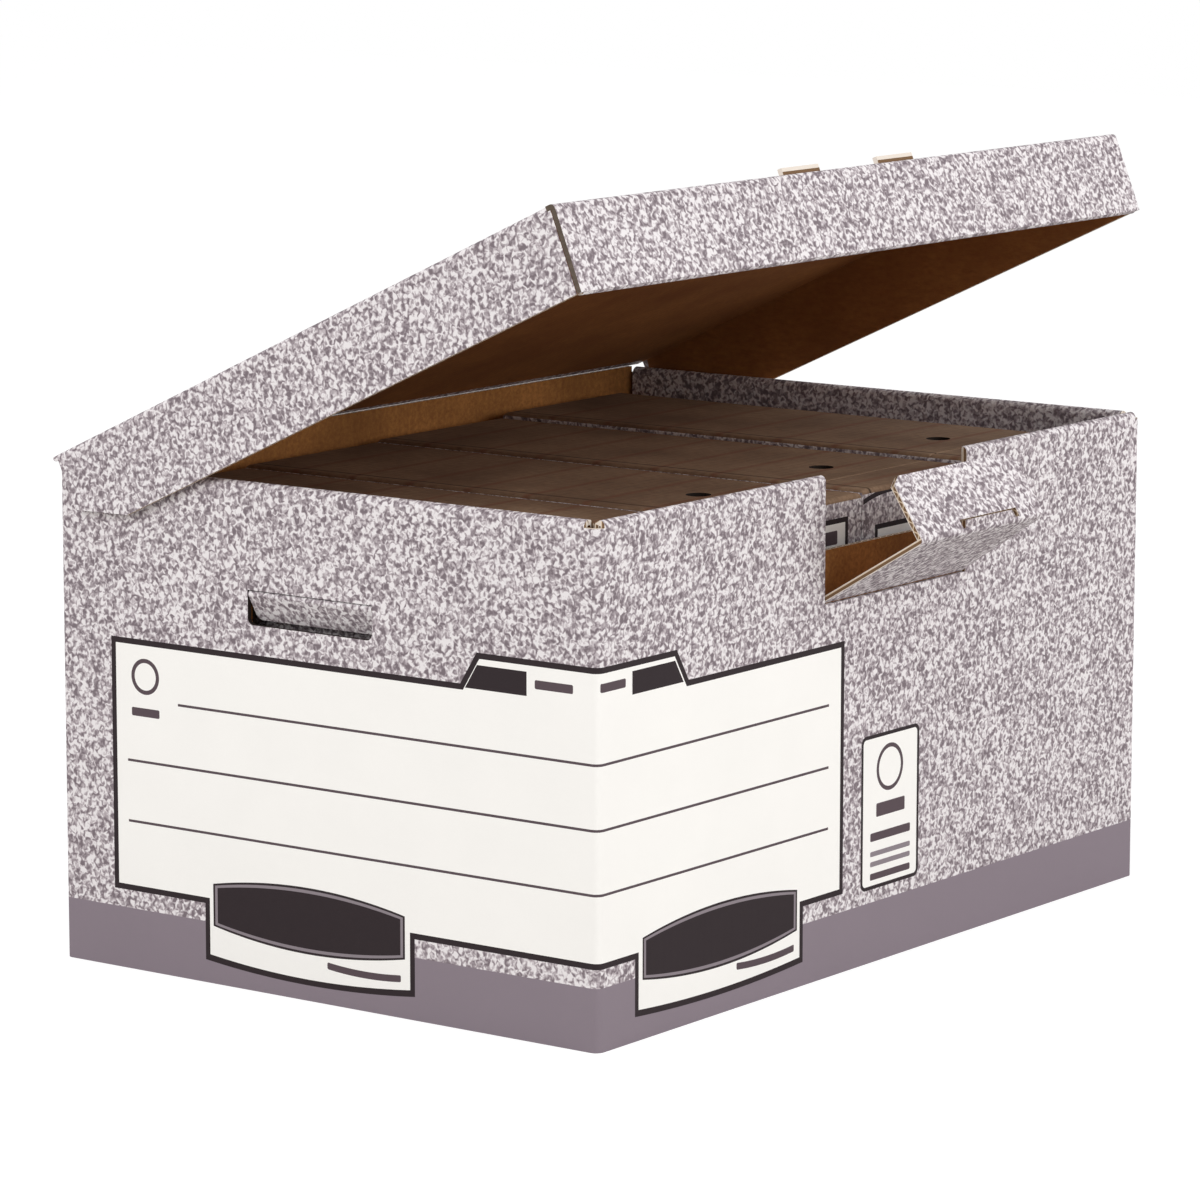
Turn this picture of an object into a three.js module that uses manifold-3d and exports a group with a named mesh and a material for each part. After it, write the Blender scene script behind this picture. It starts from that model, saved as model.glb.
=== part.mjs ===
import * as THREE from 'three';
import { mergeVertices } from 'three/addons/utils/BufferGeometryUtils.js';
import Module from 'manifold-3d';

// Flip-top archive storage box of corrugated board, with four closed transfer files standing in it.
// Millimetres, +Z up. The origin is the middle of the underside. X runs along the hinge of the lid,
// the wall with the access flap faces -Y, and the end wall at -X is the labelled one.

// Board
const BOARD = 3;
const CLEARANCE = 0.3;
const CUT = 0.5;
const ARC_STEPS = 8;

// Box, outside
const LENGTH = 564;
const WIDTH = 388;
const HEIGHT = 293;
const CORNER_RADIUS = 5;
const BOTTOM_SEAM = 2;
const BOTTOM_SEAM_OFFSET = 45;

// Walls that are rolled over at the rim into an inner layer
const FRONT_LAYER_GAP = 1;
const END_LAYER_GAP = 3.5;
const INNER_LAYER_LIFT = 0.6;
const FRONT_ROLL_INSET = 6;
const END_ROLL_INSET = 10;
const NOTCH_DEPTH = 4;

// Window and access flap of the front wall
const WINDOW_OFFSET = 9;
const WINDOW_WIDTH = 148;
const INNER_WINDOW_MARGIN = 5;
const FLAP_HINGE_HEIGHT = 221;
const INNER_LAYER_CUT = 44;
const FLAP_UNDER_LID = 0.5;
const FLAP_TAPER = 9;
const LIP_LENGTH = 42;
const LIP_CORNER = [8, 5];
const LIP_SLOT_LENGTH = 60;
const LIP_SLOT_WIDTH = 5.6;
const LIP_SLOT_OFFSET = 10;
const FLAP_OPEN_ANGLE = 57.5;

// Hand holes of the end walls
const HAND_HOLE_WIDTH = 90;
const HAND_HOLE_HEIGHT = 20;
const HAND_HOLE_SILL = 212;
const HAND_HOLE_OFFSET = 7;
const HAND_HOLE_RADIUS = 4;
const INNER_HOLE_MARGIN = 2;
const HAND_FLAP_ANGLE = 30;

// A flap turns about a line this far inside the face that folds back on itself
const CREASE_DEPTH = 0.8;

// Lid
const LID_SIDE_PLAY = 3;
const LID_REACH = 398.7;
const LID_CREASE_RADIUS = 2;
const HINGE_INSET = 0.8;
const SKIRT_DEPTH = 51;
const SIDE_SKIRT_DEPTH = 50;
const SKIRT_LAYER_GAP = 0.8;
const SKIRT_LEAN = 3;
const REAR_SKIRT_DEPTH = 34;
const REAR_CHAMFER_LENGTH = 36;
const REAR_SKIRT_START = 4;
const LOCK_TAB_WIDTH = 37;
const LOCK_TAB_SPACING = 97;
const LOCK_TAB_STAND = 4.5;
const LID_OPEN_ANGLE = 24.8;

// Transfer files, which fill the box up to these gaps
const FILE_HEADROOM = [19, 17.5, 16, 13];
const FILE_GAPS = [0.5, 1, 2.5];
const NEAR_END_PLAY = 13;
const FAR_END_PLAY = 28;
const FRONT_PLAY = 6;
const BACK_PLAY = 13;
const FILE_EDGE_RADIUS = 3;
const FILE_CREASE_INSET = 37;
const FILE_CREASE_WIDTH = 2;
const FILE_CREASE_DEPTH = 1.5;
const THUMB_HOLE_DIAMETER = 15;
const THUMB_HOLE_INSET = 71;

// Sizes that follow
const FLOOR = 2 * BOARD;
const FRONT_THICKNESS = 2 * BOARD + FRONT_LAYER_GAP;
const END_THICKNESS = 2 * BOARD + END_LAYER_GAP;
const LID_LENGTH = LENGTH + 2 * (BOARD + LID_SIDE_PLAY);
const LID_TOP = BOARD - LID_CREASE_RADIUS;
const LID_UNDER = -LID_CREASE_RADIUS;
const HINGE_Y = WIDTH / 2 - HINGE_INSET;
const HINGE_Z = HEIGHT + CLEARANCE + LID_CREASE_RADIUS;
const FLAP_NOSE = BOARD - CREASE_DEPTH;
const FLAP_HINGE_Y = -WIDTH / 2 + CREASE_DEPTH;
const FLAP_HEIGHT = HEIGHT + CLEARANCE - FLAP_UNDER_LID - FLAP_HINGE_HEIGHT;
const HAND_HINGE_Z = HAND_HOLE_SILL + HAND_HOLE_HEIGHT - CLEARANCE - FLAP_NOSE;
const HAND_HINGE_X = LENGTH / 2 - FLAP_NOSE;
const FILES_LENGTH = LENGTH - 2 * END_THICKNESS - NEAR_END_PLAY - FAR_END_PLAY
  - FILE_GAPS.reduce((sum, gap) => sum + gap, 0);
const FILE_WIDTH = FILES_LENGTH / FILE_HEADROOM.length;
const FILE_DEPTH = WIDTH - FRONT_THICKNESS - FRONT_PLAY - BACK_PLAY - BOARD;
const FILE_FRONT = -WIDTH / 2 + FRONT_THICKNESS + FRONT_PLAY;
const FILE_FOOT = FLOOR + CLEARANCE;

const wasm = await Module();
wasm.setup();

const alongX = new THREE.Matrix4().makeBasis(
  new THREE.Vector3(0, 1, 0), new THREE.Vector3(0, 0, 1), new THREE.Vector3(1, 0, 0));
const alongY = new THREE.Matrix4().makeBasis(
  new THREE.Vector3(1, 0, 0), new THREE.Vector3(0, 0, 1), new THREE.Vector3(0, -1, 0));

function toSolid(geometry) {
  geometry.deleteAttribute('normal');
  geometry.deleteAttribute('uv');
  const merged = mergeVertices(geometry, 1e-4);
  return new wasm.Manifold(new wasm.Mesh({
    numProp: 3,
    vertProperties: new Float32Array(merged.attributes.position.array),
    triVerts: new Uint32Array(merged.index.array),
  }));
}

function toMesh(solid, name, material) {
  const { vertProperties, triVerts } = solid.getMesh();
  const geometry = new THREE.BufferGeometry();
  geometry.setAttribute('position', new THREE.BufferAttribute(vertProperties, 3));
  geometry.setIndex(new THREE.BufferAttribute(triVerts, 1));
  geometry.computeVertexNormals();
  const mesh = new THREE.Mesh(geometry, material);
  mesh.name = name;
  return mesh;
}

// A point of an outline drawn in the plane that a prism is extruded from
const at = (a, b) => new THREE.Vector2(a, b);

// Points on an arc, angles in degrees, counted from the first axis of the outline towards the second
function arc(centre, radius, from, to, steps = ARC_STEPS) {
  return Array.from({ length: steps + 1 }, (_, i) => {
    const angle = THREE.MathUtils.degToRad(from + (to - from) * i / steps);
    return at(centre.x + radius * Math.cos(angle), centre.y + radius * Math.sin(angle));
  });
}

function prism(outline, from, to, basis) {
  const shape = outline instanceof THREE.Shape ? outline : new THREE.Shape(outline);
  const geometry = new THREE.ExtrudeGeometry(
    shape, { depth: to - from, bevelEnabled: false, curveSegments: ARC_STEPS });
  geometry.translate(0, 0, from);
  if (basis) geometry.applyMatrix4(basis);
  return toSolid(geometry);
}

// Outlines in (x, y), (y, z) and (x, z)
const prismZ = (outline, from, to) => prism(outline, from, to, null);
const prismX = (outline, from, to) => prism(outline, from, to, alongX);
const prismY = (outline, from, to) => prism(outline, -to, -from, alongY);

function box(x, y, z) {
  const geometry = new THREE.BoxGeometry(x[1] - x[0], y[1] - y[0], z[1] - z[0]);
  geometry.translate((x[0] + x[1]) / 2, (y[0] + y[1]) / 2, (z[0] + z[1]) / 2);
  return toSolid(geometry);
}

function roundedRectangle(length, width, radius) {
  const [a, b] = [length / 2 - radius, width / 2 - radius];
  return [
    ...arc(at(a, b), radius, 0, 90),
    ...arc(at(-a, b), radius, 90, 180),
    ...arc(at(-a, -b), radius, 180, 270),
    ...arc(at(a, -b), radius, 270, 360),
  ];
}

// Section of a wall whose board is rolled over at the rim: the outer layer, the round fold and
// the inner layer. Its first axis is the depth into the box, from the outer face.
function rolledWall(gap, top, outerFoot, innerFoot) {
  const fold = BOARD + gap / 2;
  const centre = at(fold, top - fold);
  return [
    at(0, outerFoot),
    ...arc(centre, fold, 180, 0),
    at(2 * fold, innerFoot),
    at(2 * fold - BOARD, innerFoot),
    ...arc(centre, gap / 2, 0, 180),
    at(BOARD, outerFoot),
  ];
}

// Maps an outline's depth into the box to a place along an axis, from the wall's outer face
const fromFace = (outline, face, inward) => outline.map((p) => at(face + inward * p.x, p.y));

// A cut that ends square at the top, where its flap hangs, and is rounded at the lower corners
function hangingOutline(middle, width, bottom, top, radius) {
  const half = width / 2;
  return [
    at(middle + half, top),
    at(middle - half, top),
    ...arc(at(middle - half + radius, bottom + radius), radius, 180, 270),
    ...arc(at(middle + half - radius, bottom + radius), radius, 270, 360),
  ];
}

function handHole(wall, margin, from, to) {
  const outline = hangingOutline(HAND_HOLE_OFFSET, HAND_HOLE_WIDTH + 2 * margin,
    HAND_HOLE_SILL - margin, HAND_HOLE_SILL + HAND_HOLE_HEIGHT + margin, HAND_HOLE_RADIUS);
  const ends = [wall * (LENGTH / 2 - from), wall * (LENGTH / 2 - to)].sort((a, b) => a - b);
  return prismX(outline, ends[0], ends[1]);
}

function boxBody() {
  const inner = [LENGTH - 2 * BOARD, WIDTH - 2 * BOARD];
  let body = prismZ(roundedRectangle(LENGTH, WIDTH, CORNER_RADIUS), 0, HEIGHT)
    .subtract(prismZ(roundedRectangle(...inner, CORNER_RADIUS - BOARD), FLOOR, HEIGHT + 1));

  // The two outer bottom flaps meet in a seam
  const seamEnd = LENGTH / 2 - FLOOR;
  const seamSides = [-1, 1].map((side) => BOTTOM_SEAM_OFFSET + side * BOTTOM_SEAM / 2);
  body = body.subtract(box([-seamEnd, seamEnd], seamSides, [-1, BOARD]));

  // Front wall, rolled over
  const frontEnd = LENGTH / 2 - FRONT_ROLL_INSET;
  const frontFold = HEIGHT - BOARD - FRONT_LAYER_GAP / 2;
  const innerFoot = FLOOR + INNER_LAYER_LIFT;
  const front = fromFace(
    rolledWall(FRONT_LAYER_GAP, HEIGHT, frontFold - BOARD, innerFoot), -WIDTH / 2, 1);
  body = body
    .subtract(box([-frontEnd, frontEnd], [-WIDTH / 2 - 1, -WIDTH / 2 + BOARD], [frontFold, HEIGHT + 1]))
    .add(prismX(front, -frontEnd, frontEnd));

  // End walls, rolled over
  const endSpan = [-WIDTH / 2 + END_ROLL_INSET, WIDTH / 2 - FRONT_ROLL_INSET];
  const endFold = HEIGHT - BOARD - END_LAYER_GAP / 2;
  for (const wall of [-1, 1]) {
    const face = wall * LENGTH / 2;
    const outer = [face - wall * BOARD, face + wall].sort((a, b) => a - b);
    const end = fromFace(
      rolledWall(END_LAYER_GAP, HEIGHT, endFold - BOARD, innerFoot), face, -wall);
    body = body
      .subtract(box(outer, endSpan, [endFold, HEIGHT + 1]))
      .add(prismY(end, ...endSpan));
  }

  // Notches beside the corner creases, where no board is rolled over
  for (const wall of [-1, 1]) {
    const x = [wall * (LENGTH / 2 - FRONT_ROLL_INSET), wall * (LENGTH / 2 + 1)].sort((a, b) => a - b);
    body = body
      .subtract(box(x, [-WIDTH / 2 - 1, endSpan[0]], [HEIGHT - NOTCH_DEPTH, HEIGHT + 1]))
      .subtract(box(x, [endSpan[1], WIDTH / 2 + 1], [HEIGHT - NOTCH_DEPTH, HEIGHT + 1]));
  }

  // Window of the front wall: deeper in the outer layer, where the access flap is cut, and wider
  // in the inner layer
  const halfWindow = WINDOW_WIDTH / 2;
  const innerHalfWindow = halfWindow + INNER_WINDOW_MARGIN;
  const window = [WINDOW_OFFSET - halfWindow, WINDOW_OFFSET + halfWindow];
  const innerWindow = [WINDOW_OFFSET - innerHalfWindow, WINDOW_OFFSET + innerHalfWindow];
  const layers = -WIDTH / 2 + BOARD + FRONT_LAYER_GAP / 2;
  const flapCut = FLAP_HINGE_HEIGHT - FLAP_NOSE - CLEARANCE;
  body = body
    .subtract(box(window, [-WIDTH / 2 - 1, layers], [flapCut, HEIGHT + 1]))
    .subtract(box(innerWindow, [layers, -WIDTH / 2 + FRONT_THICKNESS + 1],
      [HEIGHT - INNER_LAYER_CUT, HEIGHT + 1]));

  // Hand holes: the inner layer is cut wider than the outer one
  for (const wall of [-1, 1]) {
    body = body
      .subtract(handHole(wall, 0, -1, BOARD + END_LAYER_GAP / 2))
      .subtract(handHole(wall, INNER_HOLE_MARGIN, BOARD + END_LAYER_GAP / 2, END_THICKNESS + 1));
  }
  return body;
}

// The lid's frame has its origin on the hinge line, and the closed lid reaches along -Y
function lidSolid() {
  const half = LID_LENGTH / 2;
  const lean = THREE.MathUtils.degToRad(SKIRT_LEAN);
  const down = at(Math.sin(lean), -Math.cos(lean));
  const outward = at(-Math.cos(lean), -Math.sin(lean));
  const fold = at(-LID_REACH + BOARD, LID_TOP - BOARD);
  const along = (out, drop) => at(
    fold.x + outward.x * out + down.x * drop, fold.y + outward.y * out + down.y * drop);

  // Top panel and side skirts, folded over with a round outer edge
  const straight = half - BOARD;
  const sides = [
    at(-half, LID_TOP - SIDE_SKIRT_DEPTH),
    ...arc(at(-straight, LID_TOP - BOARD), BOARD, 180, 90),
    ...arc(at(straight, LID_TOP - BOARD), BOARD, 90, 0),
    at(half, LID_TOP - SIDE_SKIRT_DEPTH),
    at(straight, LID_TOP - SIDE_SKIRT_DEPTH),
    at(straight, LID_UNDER),
    at(-straight, LID_UNDER),
    at(-straight, LID_TOP - SIDE_SKIRT_DEPTH),
  ];
  const below = LID_TOP - SKIRT_DEPTH - BOARD;
  const seam = SKIRT_LAYER_GAP / 2;
  const skirtFront = [
    at(fold.x - 2 * BOARD, LID_UNDER),
    along(-seam, 0),
    along(-seam, SKIRT_DEPTH),
    at(fold.x - 2 * BOARD, below),
  ];
  const chamferEnd = -REAR_SKIRT_START - REAR_CHAMFER_LENGTH;
  const skirtRear = [
    at(1, LID_TOP - REAR_SKIRT_DEPTH),
    at(-REAR_SKIRT_START, LID_TOP - REAR_SKIRT_DEPTH),
    at(chamferEnd, LID_TOP - SIDE_SKIRT_DEPTH),
    at(chamferEnd, below),
    at(1, below),
  ];
  let lid = prismY(sides, fold.x, -REAR_SKIRT_START)
    .subtract(prismX(skirtFront, -half - 1, half + 1))
    .subtract(prismX(skirtRear, -half - 1, half + 1));

  // Rear edge of the panel, rounded about the hinge line
  const nose = THREE.MathUtils.radToDeg(Math.asin(LID_TOP / LID_CREASE_RADIUS));
  const rear = [
    at(-2 * REAR_SKIRT_START, LID_TOP),
    at(-2 * REAR_SKIRT_START, LID_UNDER),
    ...arc(at(0, 0), LID_CREASE_RADIUS, -90, nose),
  ];
  lid = lid.add(prismX(rear, -straight, straight));

  // Front fold and the outer layer of the front skirt
  const outerLayer = [
    at(fold.x + BOARD, LID_TOP),
    ...arc(fold, BOARD, 90, 180 + SKIRT_LEAN),
    along(BOARD, SKIRT_DEPTH - BOARD - FRONT_LAYER_GAP),
    along(0, SKIRT_DEPTH - BOARD - FRONT_LAYER_GAP),
    at(fold.x, LID_UNDER),
    at(fold.x + BOARD, LID_UNDER),
  ];
  lid = lid.add(prismX(outerLayer, -half, half));

  // The skirt's board turns up inside it as a second layer
  const turn = BOARD + SKIRT_LAYER_GAP / 2;
  const middle = along(BOARD - turn, SKIRT_DEPTH - BOARD - turn);
  const innerFace = BOARD - 2 * turn;
  const innerTop = (CLEARANCE + BOARD) / 2;
  const inward = SKIRT_LEAN;
  const secondLayer = [
    along(BOARD, SKIRT_DEPTH / 2),
    ...arc(middle, turn, 180 + inward, 360 + inward),
    along(innerFace, innerTop),
    along(innerFace + BOARD, innerTop),
    ...arc(middle, turn - BOARD, 360 + inward, 180 + inward),
    along(0, SKIRT_DEPTH / 2),
  ];
  const innerEnd = straight - CUT;
  lid = lid.add(prismX(secondLayer, -innerEnd, innerEnd));

  // Lock tabs of the second layer stand up through slots beside the front fold
  const tab = [
    along(innerFace, 2 * BOARD),
    along(innerFace, -BOARD - LOCK_TAB_STAND),
    along(innerFace + BOARD, -BOARD - LOCK_TAB_STAND),
    along(innerFace + BOARD, 2 * BOARD),
  ];
  const slot = [
    along(innerFace - CUT, innerTop),
    along(innerFace - CUT, -2 * BOARD),
    along(innerFace + BOARD + CUT, -2 * BOARD),
    along(innerFace + BOARD + CUT, innerTop),
  ];
  for (const side of [-1, 1]) {
    const centre = side * LOCK_TAB_SPACING / 2;
    const reach = LOCK_TAB_WIDTH / 2;
    lid = lid
      .subtract(prismX(slot, centre - reach - CUT, centre + reach + CUT))
      .add(prismX(tab, centre - reach, centre + reach));
  }
  return lid;
}

// The access flap's frame has its origin on its crease, and the shut flap stands up along +Z
function frontFlapSolid() {
  const outer = -CREASE_DEPTH;
  const inner = FLAP_NOSE;
  const tip = outer + LIP_LENGTH;
  const noseEnd = THREE.MathUtils.radToDeg(Math.acos(outer / FLAP_NOSE)) * -1;
  const section = [
    ...arc(at(0, 0), FLAP_NOSE, 0, noseEnd),
    ...arc(at(outer + BOARD, FLAP_HEIGHT - BOARD), BOARD, 180, 90),
    at(tip, FLAP_HEIGHT),
    at(tip, FLAP_HEIGHT - BOARD),
    at(inner, FLAP_HEIGHT - BOARD),
  ];
  const reach = WINDOW_WIDTH / 2 - CUT;

  // The panel narrows towards its lip
  const ridge = reach - FLAP_TAPER;
  const elevation = [
    at(-reach, -BOARD),
    at(-reach, 0),
    at(-ridge, FLAP_HEIGHT - BOARD),
    at(-ridge, FLAP_HEIGHT + 1),
    at(ridge, FLAP_HEIGHT + 1),
    at(ridge, FLAP_HEIGHT - BOARD),
    at(reach, 0),
    at(reach, -BOARD),
  ];
  let flap = prismX(section, -reach, reach)
    .intersect(prismY(elevation, outer - 1, tip + 1));

  // The lip's free corners are cut off at a slant
  const [cornerLength, cornerDepth] = LIP_CORNER;
  for (const side of [-1, 1]) {
    const corner = [
      at(side * ridge, tip - cornerDepth),
      at(side * (ridge - cornerLength), tip),
      at(side * (ridge - cornerLength), tip + 1),
      at(side * (ridge + 1), tip + 1),
      at(side * (ridge + 1), tip - cornerDepth),
    ];
    flap = flap.subtract(prismZ(corner, FLAP_HEIGHT - 2 * BOARD, FLAP_HEIGHT + 1));
  }

  const slotStart = LIP_SLOT_OFFSET - LIP_SLOT_LENGTH / 2;
  return flap.subtract(box([slotStart, slotStart + LIP_SLOT_LENGTH],
    [inner, inner + LIP_SLOT_WIDTH], [FLAP_HEIGHT - 2 * BOARD, FLAP_HEIGHT + 1]));
}

// A hand flap's frame has its origin on its crease, and the shut flap hangs down along -Z
function handFlapSolid(wall) {
  const outer = wall * FLAP_NOSE;
  const inner = -wall * CREASE_DEPTH;
  const drop = HAND_HINGE_Z - HAND_HOLE_SILL - CUT;
  const reach = HAND_HOLE_WIDTH / 2 - CUT;
  const noseEnd = THREE.MathUtils.radToDeg(Math.acos(-CREASE_DEPTH / FLAP_NOSE));
  const nose = arc(at(0, 0), FLAP_NOSE, 0, noseEnd).map((p) => at(wall * p.x, p.y));
  const section = [...nose, at(inner, -drop), at(outer, -drop)];
  const outline = hangingOutline(0, 2 * reach, -drop, BOARD, HAND_HOLE_RADIUS);
  return prismY(section, -reach, reach)
    .intersect(prismX(outline, -BOARD, BOARD));
}

// A transfer file's frame has its origin at the middle of the foot of its front end
function fileSolid(height) {
  const half = FILE_WIDTH / 2;
  const radius = FILE_EDGE_RADIUS;
  const section = [
    at(-half, 0),
    ...arc(at(-half + radius, height - radius), radius, 180, 90),
    ...arc(at(half - radius, height - radius), radius, 90, 0),
    at(half, 0),
  ];
  const side = [
    at(0, 0),
    ...arc(at(radius, height - radius), radius, 180, 90),
    ...arc(at(FILE_DEPTH - radius, height - radius), radius, 90, 0),
    at(FILE_DEPTH, 0),
  ];
  const crease = [
    at(FILE_CREASE_INSET - FILE_CREASE_WIDTH / 2, height + 1),
    at(FILE_CREASE_INSET - FILE_CREASE_WIDTH / 2, height),
    at(FILE_CREASE_INSET, height - FILE_CREASE_DEPTH),
    at(FILE_CREASE_INSET + FILE_CREASE_WIDTH / 2, height),
    at(FILE_CREASE_INSET + FILE_CREASE_WIDTH / 2, height + 1),
  ];
  const thumb = arc(at(0, THUMB_HOLE_INSET), THUMB_HOLE_DIAMETER / 2, 0, 360, 3 * ARC_STEPS).slice(1);
  return prismY(section, 0, FILE_DEPTH)
    .intersect(prismX(side, -half - 1, half + 1))
    .subtract(prismX(crease, -half - 1, half + 1))
    .subtract(prismZ(thumb, height - BOARD, height + 1));
}

const board = (name, color) => new THREE.MeshStandardMaterial({
  name, color, roughness: 0.85, metalness: 0 });
const speckledBoard = board('speckled_board', 0xb8aeb4);
const lidBoard = board('speckled_lid_board', 0xb8aeb4);
const flapBoard = board('speckled_flap_board', 0xb8aeb4);
const fileBoard = board('file_board', 0x8a7561);

const part = new THREE.Group();
part.add(toMesh(boxBody(), 'box_body', speckledBoard));

const lid = toMesh(lidSolid(), 'lid', lidBoard);
lid.position.set(0, HINGE_Y, HINGE_Z);
lid.rotation.x = -THREE.MathUtils.degToRad(LID_OPEN_ANGLE);
part.add(lid);

const frontFlap = toMesh(frontFlapSolid(), 'front_flap', flapBoard);
frontFlap.position.set(WINDOW_OFFSET, FLAP_HINGE_Y, FLAP_HINGE_HEIGHT);
frontFlap.rotation.x = THREE.MathUtils.degToRad(FLAP_OPEN_ANGLE);
part.add(frontFlap);

for (const [wall, name] of [[-1, 'hand_flap_near'], [1, 'hand_flap_far']]) {
  const flap = toMesh(handFlapSolid(wall), name, flapBoard);
  flap.position.set(wall * HAND_HINGE_X, HAND_HOLE_OFFSET, HAND_HINGE_Z);
  flap.rotation.y = wall * THREE.MathUtils.degToRad(HAND_FLAP_ANGLE);
  part.add(flap);
}

let fileSide = -LENGTH / 2 + END_THICKNESS + NEAR_END_PLAY;
FILE_HEADROOM.forEach((headroom, i) => {
  const file = toMesh(fileSolid(HEIGHT - headroom - FILE_FOOT), `file_${i + 1}`, fileBoard);
  file.position.set(fileSide + FILE_WIDTH / 2, FILE_FRONT, FILE_FOOT);
  part.add(file);
  fileSide += FILE_WIDTH + (FILE_GAPS[i] ?? 0);
});

export default part;
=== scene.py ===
"""Looks of a flip-top archive storage box of printed corrugated board, with its transfer files."""

import logging
import math
from dataclasses import dataclass
from enum import IntEnum
from typing import Callable, Mapping, Optional, Sequence, Union

import bmesh
import bpy
from mathutils import Matrix, Vector

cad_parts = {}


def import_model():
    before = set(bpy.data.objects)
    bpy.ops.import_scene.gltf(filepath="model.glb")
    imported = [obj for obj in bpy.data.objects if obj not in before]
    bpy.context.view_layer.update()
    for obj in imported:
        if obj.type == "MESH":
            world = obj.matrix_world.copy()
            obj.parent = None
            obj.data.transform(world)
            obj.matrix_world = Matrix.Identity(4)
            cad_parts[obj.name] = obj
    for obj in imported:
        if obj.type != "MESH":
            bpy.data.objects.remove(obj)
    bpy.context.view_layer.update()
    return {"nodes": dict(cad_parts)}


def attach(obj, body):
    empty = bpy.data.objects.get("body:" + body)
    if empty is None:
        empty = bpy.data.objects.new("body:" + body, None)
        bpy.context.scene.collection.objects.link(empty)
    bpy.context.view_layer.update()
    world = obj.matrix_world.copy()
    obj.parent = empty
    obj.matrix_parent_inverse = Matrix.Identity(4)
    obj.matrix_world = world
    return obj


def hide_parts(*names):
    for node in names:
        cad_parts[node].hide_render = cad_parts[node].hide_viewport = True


LOG = logging.getLogger("archive_box")
MM = 0.001

# A face lies on a plane if it is this near, in millimetres
NEAR = 0.1

# Cosines past which a face looks along a direction: squarely, nearly, roughly, mostly, or leaning
SQUARE = 0.999
NEARLY = 0.99
ROUGHLY = 0.9
MOSTLY = 0.7
LEANING = 0.3

# Cosine under which a face looks across a direction
ACROSS = 0.02

# Corners of a solid's triangles that are nearer than this, in metres, are one corner
WELD = 2e-6

# Places on the cut-edge map for an edge that the flutes run along: beside the wave, in mid-board
BESIDE_WAVE = 1.6
MID_BOARD = 1.5

# How fast a lock tab's face runs from the pale cut-edge colour at its top into that map's dark band,
# painted as the shadow of its slot
TAB_SHADE_FALL = 0.2

# Edges that fold more sharply than this keep a crisp line
CRISP_FOLD = math.radians(33)

Value = Union[float, Sequence[float], bpy.types.Node, bpy.types.NodeSocket]


def linear(colour: str, alpha: float = 1.0) -> tuple[float, float, float, float]:
    """Turn an sRGB hex colour into the linear values that Blender's sockets take.

    Args:
        colour: Six hex digits with a leading hash.
        alpha: Opacity.

    Returns:
        Linear red, green and blue, and the opacity.
    """
    channels = [int(colour[i : i + 2], 16) / 255 for i in (1, 3, 5)]
    return (
        *(c / 12.92 if c <= 0.04045 else ((c + 0.055) / 1.055) ** 2.4 for c in channels),
        alpha,
    )


def add_node(
    tree: bpy.types.NodeTree,
    kind: str,
    links: Optional[Mapping[Union[int, str], Value]] = None,
    **settings: object,
) -> bpy.types.Node:
    """Add a node with its settings, and link or set its inputs.

    Args:
        tree: Node tree that gets the node.
        kind: Blender's name of the node's type.
        links: Input index or name, to a value, a socket, or a node whose first output is meant.
        settings: Properties of the node.

    Returns:
        The new node.
    """
    node = tree.nodes.new(kind)
    for name, setting in settings.items():
        setattr(node, name, setting)
    for key, value in (links or {}).items():
        if isinstance(value, bpy.types.Node):
            value = value.outputs[0]
        if isinstance(value, bpy.types.NodeSocket):
            tree.links.new(value, node.inputs[key])
        else:
            node.inputs[key].default_value = value
    return node


def blank_material(name: str) -> tuple[bpy.types.Material, bpy.types.NodeTree]:
    """Make a material with an empty node tree.

    Args:
        name: The material's name.

    Returns:
        The material and its tree.
    """
    material = bpy.data.materials.new(name)
    material.use_nodes = True
    material.node_tree.nodes.clear()
    return material, material.node_tree


class Face(IntEnum):
    """What a board surface shows; each value is a material slot of a board piece."""

    PRINT = 0
    RAW = 1
    EDGE = 2
    LABEL = 3
    BAND = 4
    # Dark kraft painted as the shade inside holes: the thumb holes and the hand holes' cut edges
    HOLE = 5
    # Grey-brown kraft painted as the shadow in the lid's front corner seams
    SEAM = 6


@dataclass(frozen=True)
class Speckle:
    """Granite print: a flexographic grain of mauve greys on a white-coated liner."""

    white: str = "#EFEAEB"
    light: str = "#C3B9BD"
    middle: str = "#A0959A"
    dark: str = "#7C7076"
    stops: tuple[float, ...] = (0.37, 0.465, 0.54, 0.64)
    grain_mm: float = 2.8
    patch_mm: float = 34.0
    patch_weight: float = 0.06

    def colour(self, tree: bpy.types.NodeTree, place: Value) -> bpy.types.Node:
        """Build the grain's colour.

        Args:
            tree: Node tree to build in.
            place: Position on the board, in metres.

        Returns:
            A node whose first output is the colour.
        """
        grain = add_node(tree, "ShaderNodeTexNoise", {
            "Vector": place, "Scale": 1 / (self.grain_mm * MM), "Detail": 1.5,
            "Roughness": 0.4, "Distortion": 0.7})
        patches = add_node(tree, "ShaderNodeTexNoise", {
            "Vector": place, "Scale": 1 / (self.patch_mm * MM), "Detail": 1.0})
        shifted = add_node(tree, "ShaderNodeMath", {0: patches, 1: self.patch_weight, 2: grain},
                           operation="MULTIPLY_ADD")
        ramp = add_node(tree, "ShaderNodeValToRGB", {0: shifted})
        stops = tuple(zip(self.stops, (self.dark, self.middle, self.light, self.white)))
        ramp.color_ramp.elements[0].position = stops[0][0]
        ramp.color_ramp.elements[0].color = linear(stops[0][1])
        ramp.color_ramp.elements[1].position = stops[-1][0]
        ramp.color_ramp.elements[1].color = linear(stops[-1][1])
        for position, colour in stops[1:-1]:
            ramp.color_ramp.elements.new(position).color = linear(colour)
        return ramp


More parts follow.
